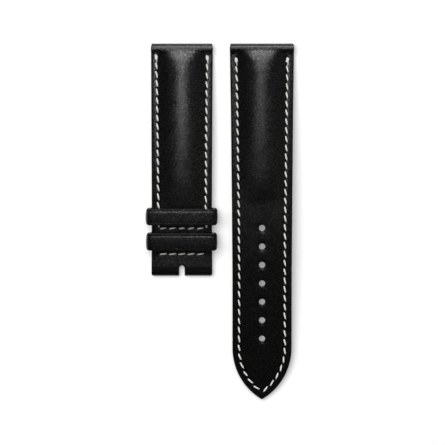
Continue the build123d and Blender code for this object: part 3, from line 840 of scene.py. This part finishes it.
def lining(strap):
    """The lining of one half, with rounded edges and the bobbin seam's groove."""
    bm = bmesh.new()
    first, last = strap.rolls[0].foot, (TAIL_START + TAIL_RUN if strap.tail else strap.rolls[1].foot)
    tops = (strap.rolls[0].scarf, last if strap.tail else strap.rolls[1].scarf)
    places = [p for p in stations(strap, [first, last, *tops]) if first - NEAR <= p <= last + NEAR]
    columns = [(-1, depth) for depth in LINING_BAND] + [(1, depth) for depth in reversed(LINING_BAND)]
    rows = []
    for along in places:
        row = []
        for side, depth in columns:
            across, distance = strap.place(along, side, depth)
            height = quarter(depth, EDGE_ROUND)
            if strap.seam_from < distance < strap.seam_to:
                height += LINING_GROOVE * exp(-(((depth - strap.seam_inset(distance)) / 0.3) ** 2))
            height += dent(strap, across, distance, LINING_DENT)
            row.append(bm.verts.new(strap.point(across, distance, height)))
        rows.append(row)
    inner = len(LINING_BAND) - 1
    low_rings, high_rings = {}, {}
    for hole in HOLES if strap.tail else []:
        low_rings[hole], high_rings[hole] = hole_wall(strap, bm, hole, LINING_RINGS)
    for row, column in band_of(len(places), len(columns)):
        if column != inner:
            edge = min(column, len(columns) - 2 - column) < PAINTED_COLUMNS
            face(bm, corners_of(rows, row, column), 1 if edge else 0)
    ruled(bm, places, [r[inner] for r in rows], [r[inner + 1] for r in rows], low_rings)
    tops_from, tops_to = (first_from(places, top) for top in tops)
    top_places = places[tops_from : tops_to + 1]
    high = []
    for along in top_places:
        high.append([bm.verts.new(strap.point(*strap.place(along, side, 0), LINING)) for side in (-1, 1)])
    ruled(bm, top_places, [r[0] for r in high], [r[1] for r in high], high_rings, 2)
    for side in (0, -1):
        join(bm, [r[side] for r in rows[tops_from : tops_to + 1]], [r[side] for r in high], 1)
        face(bm, [r[side] for r in rows[: tops_from + 1]] + [high[0][side]], 1)
        if not strap.tail:
            face(bm, [r[side] for r in rows[tops_to:]][::-1] + [high[-1][side]], 1)
    face(bm, rows[0] + [high[0][1], high[0][0]], 2)
    if not strap.tail:
        face(bm, rows[-1] + [high[-1][1], high[-1][0]], 2)
    make_piece(strap, "lining_leather", bm, [lining_leather, paint, flesh], "lining")


def stay_tape(strap):
    """The woven tape between lining and leather."""
    bm = bmesh.new()
    count = ceil((strap.tape_end - TAPE_START) / 0.5)
    places = [TAPE_START + (strap.tape_end - TAPE_START) * i / count for i in range(count + 1)]
    half = TAPE_HALF - 0.02
    holes = HOLES if strap.tail else []
    sheets, rings = [], []
    for height in (LINING + 0.01, LINING + TAPE - 0.01):
        sheets.append([[bm.verts.new(strap.point(a, d, height)) for d in places] for a in (-half, half)])
        rings.append({hole: hole_ring(strap, bm, hole, HOLE_RADIUS, BORDER - height) for hole in holes})
        ruled(bm, places, sheets[-1][0], sheets[-1][1], rings[-1])
    for low, high in zip(*sheets):
        join(bm, low, high)
    for i in (0, -1):
        face(bm, [sheets[0][0][i], sheets[0][1][i], sheets[1][1][i], sheets[1][0][i]])
    for hole in rings[0]:
        bridge(bm, rings[0][hole], rings[1][hole])
    make_piece(strap, "woven_tape", bm, [tape_weave], "stay_tape")


def padding(strap):
    """The felt under the crown, full in the middle and thin at its rim."""
    bm = bmesh.new()
    start, end = PAD_START + 0.05, strap.crown_end - PAD_END_GAP - 0.05
    count = 90
    acrosses = [PAD_HALF * sin(pi / 2 * i / 9) * 0.985 for i in range(-9, 10)]
    tops, lows = [], []
    for i in range(count + 1):
        distance = start + (end - start) * i / count
        soft = sqrt(1 - (1 - min(i / 3, (count - i) / 3, 1)) ** 2)
        tops.append([])
        lows.append([])
        for across in acrosses:
            low = LINING + (TAPE if abs(across) < TAPE_HALF else 0) + 0.01
            high = under_height(strap, across, distance) - 0.03
            high = low + max(high - low, 0.02) * (0.35 + 0.65 * soft)
            high += WANDER * noise.noise(Vector((across * 0.9, distance * 0.9, 3)))
            tops[-1].append(bm.verts.new(strap.point(across, distance, high)))
            lows[-1].append(bm.verts.new(strap.point(across, distance, low)))
    for sheet in (tops, lows):
        for here, there in zip(sheet, sheet[1:]):
            join(bm, here, there)
    for end in (0, -1):
        join(bm, [row[end] for row in tops], [row[end] for row in lows])
        join(bm, tops[end], lows[end])
    make_piece(strap, "felt_pad", bm, [pad_felt], "padding")


# Keepers: the pressed lines' place and depths, and how far the band swells between its edges
PRESSED_INSET, PRESSED_WIDE, UPPER_PRESS, LOWER_PRESS, KEEPER_CROWN = 0.75, 0.11, 0.1, 0.035, 0.11
KEEPER_ROUND, KEEPER_WANDER = 0.8, 0.015


def rounded_loop(width, bottom, top, rounding):
    """Points round a rounded rectangle, with more of them where it bends."""
    points = []
    half, low, high = width / 2 - rounding, bottom + rounding, top - rounding
    corners = [(half, high), (-half, high), (-half, low), (half, low)]
    for number, (x, z) in enumerate(corners):
        for i in range(9):
            angle = radians(90 * number + 90 * i / 8)
            points.append((x + rounding * cos(angle), z + rounding * sin(angle)))
        (ax, az), (next_x, next_z) = points[-1], corners[(number + 1) % 4]
        steps = 24 if number % 2 == 0 else 4
        points += [(ax + (next_x - x) * i / steps, az + (next_z - z) * i / steps) for i in range(1, steps)]
    return points


def keeper_band(name, body, middle, length, inner, outer, leather):
    """A keeper's leather, with pressed lines and painted edges, or its lining."""
    bm = bmesh.new()
    up = short.up(middle)
    origin = short.point(0, middle, 0)
    along = Vector((0, up.z, -up.y))
    inside, outside = rounded_loop(*inner), rounded_loop(*outer)
    half = length / 2
    crease = half - PRESSED_INSET
    rim = 0.18 if leather else 0.1
    fine = [half - step for step in (0, 0.04, 0.1, 0.18, rim)]
    fine += [crease + step for step in (0.2, 0.1, 0, -0.1, -0.2)] + [half * 0.4, 0]
    outer_places = fine + [-t for t in reversed(fine[:-1])]
    inner_places = [-half, -half / 2, 0, half / 2, half]
    loops = []
    for (ax, az), (bx, bz) in zip(inside, outside):
        way = Vector((bx - ax, bz - az))
        thick = way.length
        way.normalize()
        loop = []
        beyond = max(abs(bx) - (outer[0] / 2 - KEEPER_ROUND), 0)
        kept = half - KEEPER_ROUND + sqrt(max(KEEPER_ROUND**2 - beyond**2, 0))
        shrink = kept / half if leather else 1
        for t in outer_places:
            fall = quarter(half - abs(t), rim)
            if leather:
                pressed = UPPER_PRESS if t > 0 else LOWER_PRESS
                fall += pressed * exp(-(((abs(t) - crease) / PRESSED_WIDE) ** 2))
                fall -= KEEPER_CROWN * (1 - (t / half) ** 2)
                fall += KEEPER_WANDER * noise.noise(Vector((bx / 2, bz / 2, t / 2 + middle)))
            fall = min(fall, thick * 0.8)
            x, z = bx - way.x * fall, bz - way.y * fall
            loop.append(bm.verts.new(origin + Vector((x, 0, 0)) + up * z + along * t * shrink))
        for t in inner_places:
            loop.append(bm.verts.new(origin + Vector((ax, 0, 0)) + up * az + along * t * shrink))
        loops.append(loop)
    count = len(outer_places)
    for a, b in zip(loops, loops[1:] + loops[:1]):
        for i in range(len(a)):
            j = (i + 1) % len(a)
            edge = i < 4 or count - 5 <= i < count or i == len(a) - 1
            face(bm, [a[i], a[j], b[j], b[i]], 1 if edge and leather else 0)
    if leather:
        make_object(name + "_band", bm, [keeper_leather, paint], body, name + "_leather")
    else:
        make_object(name + "_inside", bm, [lining_leather], body, name + "_lining")


# Thread: its plies, their turns in a stitch, its radii, and how far stitches rise, sink and lead
PLIES, PLY_SWELL, TWIST, THREAD_FLAT, THREAD_SHARP = 3, 0.09, 1.3, 0.82, 80
NEEDLE_RADIUS, BOBBIN_RADIUS, JOINT_RADIUS = 0.27, 0.27, 0.2
RISE, SINK_IN, LEAD = 0.12, 0.45, 0.15
# The cross seams' thread: its material, radius and share of the stitch that shows; material 1 is the greyed
# white thread, as painted shade
THREAD_LOOKS = {"upper_cross_seam": (1, 0.21, 0.83), "lower_cross_seam": (1, 0.24, 0.98)}
# A seam's first stitch is sewn twice: the strands' shift, lag, share of the stitch, radius and material;
# material 1 is the greyed white thread, as painted shade
FIRST_END, FIRST_RISE = 6.2, 0.1
FIRST_STRANDS = (-0.16, -0.1, 0.8, 0.31, 0), (0.17, 0, 0.72, 0.28, 0), (0.15, 1.2, 0.6, 0.2, 1)


def add_stitch(bm, frame, length, radius, rise, sink, rings=15, sides=12, index=0, lead=0):
    """A twisted thread from one needle hole to the next, thickest towards its lead."""
    origin, along, aside, up = frame
    loops = []
    path = []
    for i in range(rings):
        q = pi * i / (rings - 1)
        path.append((-length / 2 * cos(q), (rise + sink) * sin(q) ** 0.55 - sink))
    for i, (s, h) in enumerate(path):
        before, after = path[max(i - 1, 0)], path[min(i + 1, rings - 1)]
        run = Vector((after[0] - before[0], after[1] - before[1])).normalized()
        out = up * run.x - along * run.y
        middle = origin + along * s + up * h
        q = i / (rings - 1)
        size = radius * (0.3 + 0.7 * sin(pi * q ** (1 - lead)) ** 0.75)
        loop = []
        for j in range(sides):
            angle = 2 * pi * j / sides
            lobe = size * (1 + PLY_SWELL * cos(PLIES * (angle - TWIST * 2 * pi * q)))
            spot = middle + aside * lobe * cos(angle) + out * THREAD_FLAT * lobe * sin(angle)
            loop.append(bm.verts.new(spot))
        loops.append(loop)
    for a, b in zip(loops, loops[1:]):
        bridge(bm, a, b, index)
    face(bm, loops[0][::-1], index)
    face(bm, loops[-1], index)


def stitch_frame(strap, across, distance, heading, height, under=False):
    """Where a stitch lies, and its turn."""
    up = strap.up(distance, height)
    on = Vector((0, up.z, -up.y))
    along = Vector((1, 0, 0)) * cos(heading) + on * sin(heading)
    aside = up.cross(along)
    origin = strap.point(across, distance, height)
    return (origin, along, aside, -up if under else up)


def seam(name):
    """One seam's needle and bobbin threads."""
    strap, stitches, length = seams[name]
    top, low = bmesh.new(), bmesh.new()
    for number, (across, distance, heading) in enumerate(stitches):
        depth = strap.half_width(min(distance, TAIL_START)) - abs(across)
        if strap.tail and distance > TAIL_START:
            depth = LONG_INSET
        ground = strap.top(across, distance, depth)
        turn, stretch = (noise.noise(Vector((number * 1.7, across, layer))) for layer in (5, 8))
        under = stitch_frame(strap, across, distance, heading, 0.05, True)
        add_stitch(low, under, length, BOBBIN_RADIUS, 0.02, 0.2, rings=9, sides=8)
        shade, radius, part = THREAD_LOOKS.get(name, (0, NEEDLE_RADIUS, 1))
        strands = [(0, 0, part * (0.98 + 0.12 * stretch), radius, shade)]
        turned, rise = heading + 0.07 * turn, RISE
        if distance < FIRST_END:
            strands, rise = FIRST_STRANDS, FIRST_RISE
            turned = (-0.25 if strap.tail and across > 0 else 0.06) - pi / 2
        for shift, lag, part, radius, shade in strands:
            on = stitch_frame(strap, across + shift, distance + lag, turned, ground)
            add_stitch(top, on, length * part, radius, rise, SINK_IN, index=shade, lead=LEAD)
    for bm, side, threads in ((top, "needle", [white_thread, painted_shade_thread]), (low, "bobbin", [white_thread])):
        piece, node = f"{name}_{side}_stitches", f"{name}_{side}_thread"
        make_object(piece, bm, threads, strap.body, node, THREAD_SHARP)


def joint_stitches(middle, length, bottom):
    """The stitches that close the floating keeper's butt joint."""
    bm = bmesh.new()
    for offset in (-length / 4, 0, length / 4):
        on = stitch_frame(short, 0, middle + offset, 0, bottom + 0.1, True)
        add_stitch(bm, on, 2.3, JOINT_RADIUS, 0.08, 0.12, rings=9, sides=8)
    node = "floating_keeper_joint_thread"
    make_object("joint_stitches", bm, [black_thread], "floating_keeper", node, THREAD_SHARP)


for build in (top_leather, lining, stay_tape, padding):
    for strap in (short, long):
        build(strap)

# Each keeper's surfaces from the inside out, as width, bottom, top and rounding
floating = [(20.6, -0.35, 4.7, 0.8), (21.4, -0.75, 5.1, 0.8), (23.0, -1.55, 5.9, 1.6)]
fixed = [(20.4, 1.35, 4.7, 0.8), (21.2, 1.15, 5.1, 0.8), (22.8, 0.85, 5.9, 1.6)]
for name, body, middle, length, (inside, between, outside) in (
    ("floating_keeper", "floating_keeper", 55.7, 5.2, floating),
    ("fixed_keeper", "short_piece", 63.55, 5.4, fixed),
):
    keeper_band(name, body, middle, length, between, outside, True)
    keeper_band(name, body, middle, length, inside, between, False)
joint_stitches(55.85, 5.5, -1.55)
for seam_name in seams:
    seam(seam_name)

# Floor, light and camera, in metres
FLOOR_HALF, FLOOR_COLOUR, FLOOR_GLOW = 1500 * MM, (0.8, 0.8, 0.8), 0.21
WORLD_STRENGTH = 0.04
LENS, SENSOR, VIEW_WIDTH = 250, 36, 0.14375


def white_ground():
    """A pale floor that shows white and keeps the strap's shadow."""
    n = Nodes("white_ground", FLOOR_COLOUR, 1)
    # The glow is for the rays that show the background, and no light on the strap
    rays = n.new("LightPath", {}).outputs
    shown = n.math("MAXIMUM", rays["Is Camera Ray"], rays["Is Transmission Ray"])
    shown = n.math("MAXIMUM", shown, rays["Is Glossy Ray"])
    matt = n.new("BsdfDiffuse", {"Color": (*FLOOR_COLOUR, 1)})
    glow = n.new("Emission", {"Strength": n.math("MULTIPLY", shown, FLOOR_GLOW)})
    both = n.new("AddShader", {0: matt.outputs[0], 1: glow.outputs[0]})
    n.tree.links.new(both.outputs[0], n.tree.nodes["Material Output"].inputs["Surface"])
    n.tree.nodes.remove(n.shader)
    return n.made


def soft_box(name, place, aim, size_x, size_y, radiance):
    """A soft box that faces a place."""
    data = bpy.data.lights.new(name, "AREA")
    data.shape, data.size, data.size_y = "RECTANGLE", size_x, size_y
    data.energy = radiance * pi * size_x * size_y
    obj = bpy.data.objects.new(name, data)
    obj.location = place
    obj.rotation_euler = (Vector(place) - Vector(aim)).to_track_quat("Z", "Y").to_euler()
    obj.visible_camera = False
    bpy.context.scene.collection.objects.link(obj)
    return obj


def strip_light(name, low, high, height, radiance, pieces):
    """A level light between two corners that lights only some pieces."""
    middle = [(a + b) / 2 for a, b in zip(low, high)]
    obj = soft_box(name, (*middle, height), (*middle, 0), high[0] - low[0], high[1] - low[1], radiance)
    lit = bpy.data.collections.new(name + "_lights")
    for piece in pieces:
        lit.objects.link(bpy.data.objects[piece])
    obj.light_linking.receiver_collection = lit


bm = bmesh.new()
bmesh.ops.create_grid(bm, x_segments=1, y_segments=1, size=FLOOR_HALF / MM)
make_object("floor", bm, [white_ground()])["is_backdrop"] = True

soft_box("main_light", (-0.2, 0.2, 1.0), (0, 0, 0), 0.9, 0.9, 5.7).visible_glossy = False
soft_box("right_card", (0.9, 0, 0.7), (0, 0, 0), 1.2, 1.6, 0.12)
keepers = ["floating_keeper_band", "fixed_keeper_band"]
short_pieces = ["short_leather", *keepers]
long_pieces = ["long_leather"]
# The strips along each crown's highlight, lug end last, as start, end and radiance
short_strips = [(-0.015, 0.005, 0.6), (0.005, 0.025, 1.3), (0.025, 0.05, 3.6), (0.05, 0.3, 7.6)]
long_strips = [(0.005, 0.035, 0.2), (0.035, 0.06, 1.4), (0.06, 0.34, 3.9)]
for name, strips, left, right, height, pieces in (
    ("short_strip", short_strips, -0.026, 0.001, 0.153, short_pieces),
    ("long_strip", long_strips, -0.015, 0.023, 0.209, long_pieces),
):
    for number, (low, high, radiance) in enumerate(strips):
        strip_light(f"{name}_{number}", (left, low), (right, high), height, radiance, pieces)
for strip in (
    ("keeper_strip", (-0.025, -0.045), (-0.003, -0.015), 0.152, 1.1, keepers),
    ("buckle_end_patch", (-0.011, -0.07), (-0.001, -0.02), 0.1515, 0.6, ["short_leather"]),
    ("short_back", (-0.062, 0.14), (0.036, 0.24), 0.151, 3.2, short_pieces),
    ("short_far", (-0.12, 0.24), (0.1, 0.42), 0.15, 4.5, short_pieces),
    ("long_back", (-0.055, 0.18), (0.08, 0.3), 0.207, 4.5, long_pieces),
    ("long_far", (-0.14, 0.3), (0.16, 0.5), 0.206, 6.0, long_pieces),
):
    strip_light(*strip)

world = bpy.data.worlds.new("studio")
bpy.context.scene.world = world
world.use_nodes = True
back = world.node_tree.nodes["Background"]
back.inputs["Strength"].default_value = WORLD_STRENGTH
back.inputs["Color"].default_value = (1, 1, 1, 1)

scene = bpy.context.scene
lens = bpy.data.cameras.new("camera")
lens.lens, lens.sensor_width, lens.clip_start, lens.clip_end = LENS, SENSOR, 0.01, 20
camera = bpy.data.objects.new("camera", lens)
camera.location = (0.000745, -0.000324, 0.002 + VIEW_WIDTH * LENS / SENSOR)
scene.collection.objects.link(camera)
scene.camera = camera
scene.view_settings.view_transform = "Standard"

[[list(corner) for corner in box] for box in (cad_box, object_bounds())]
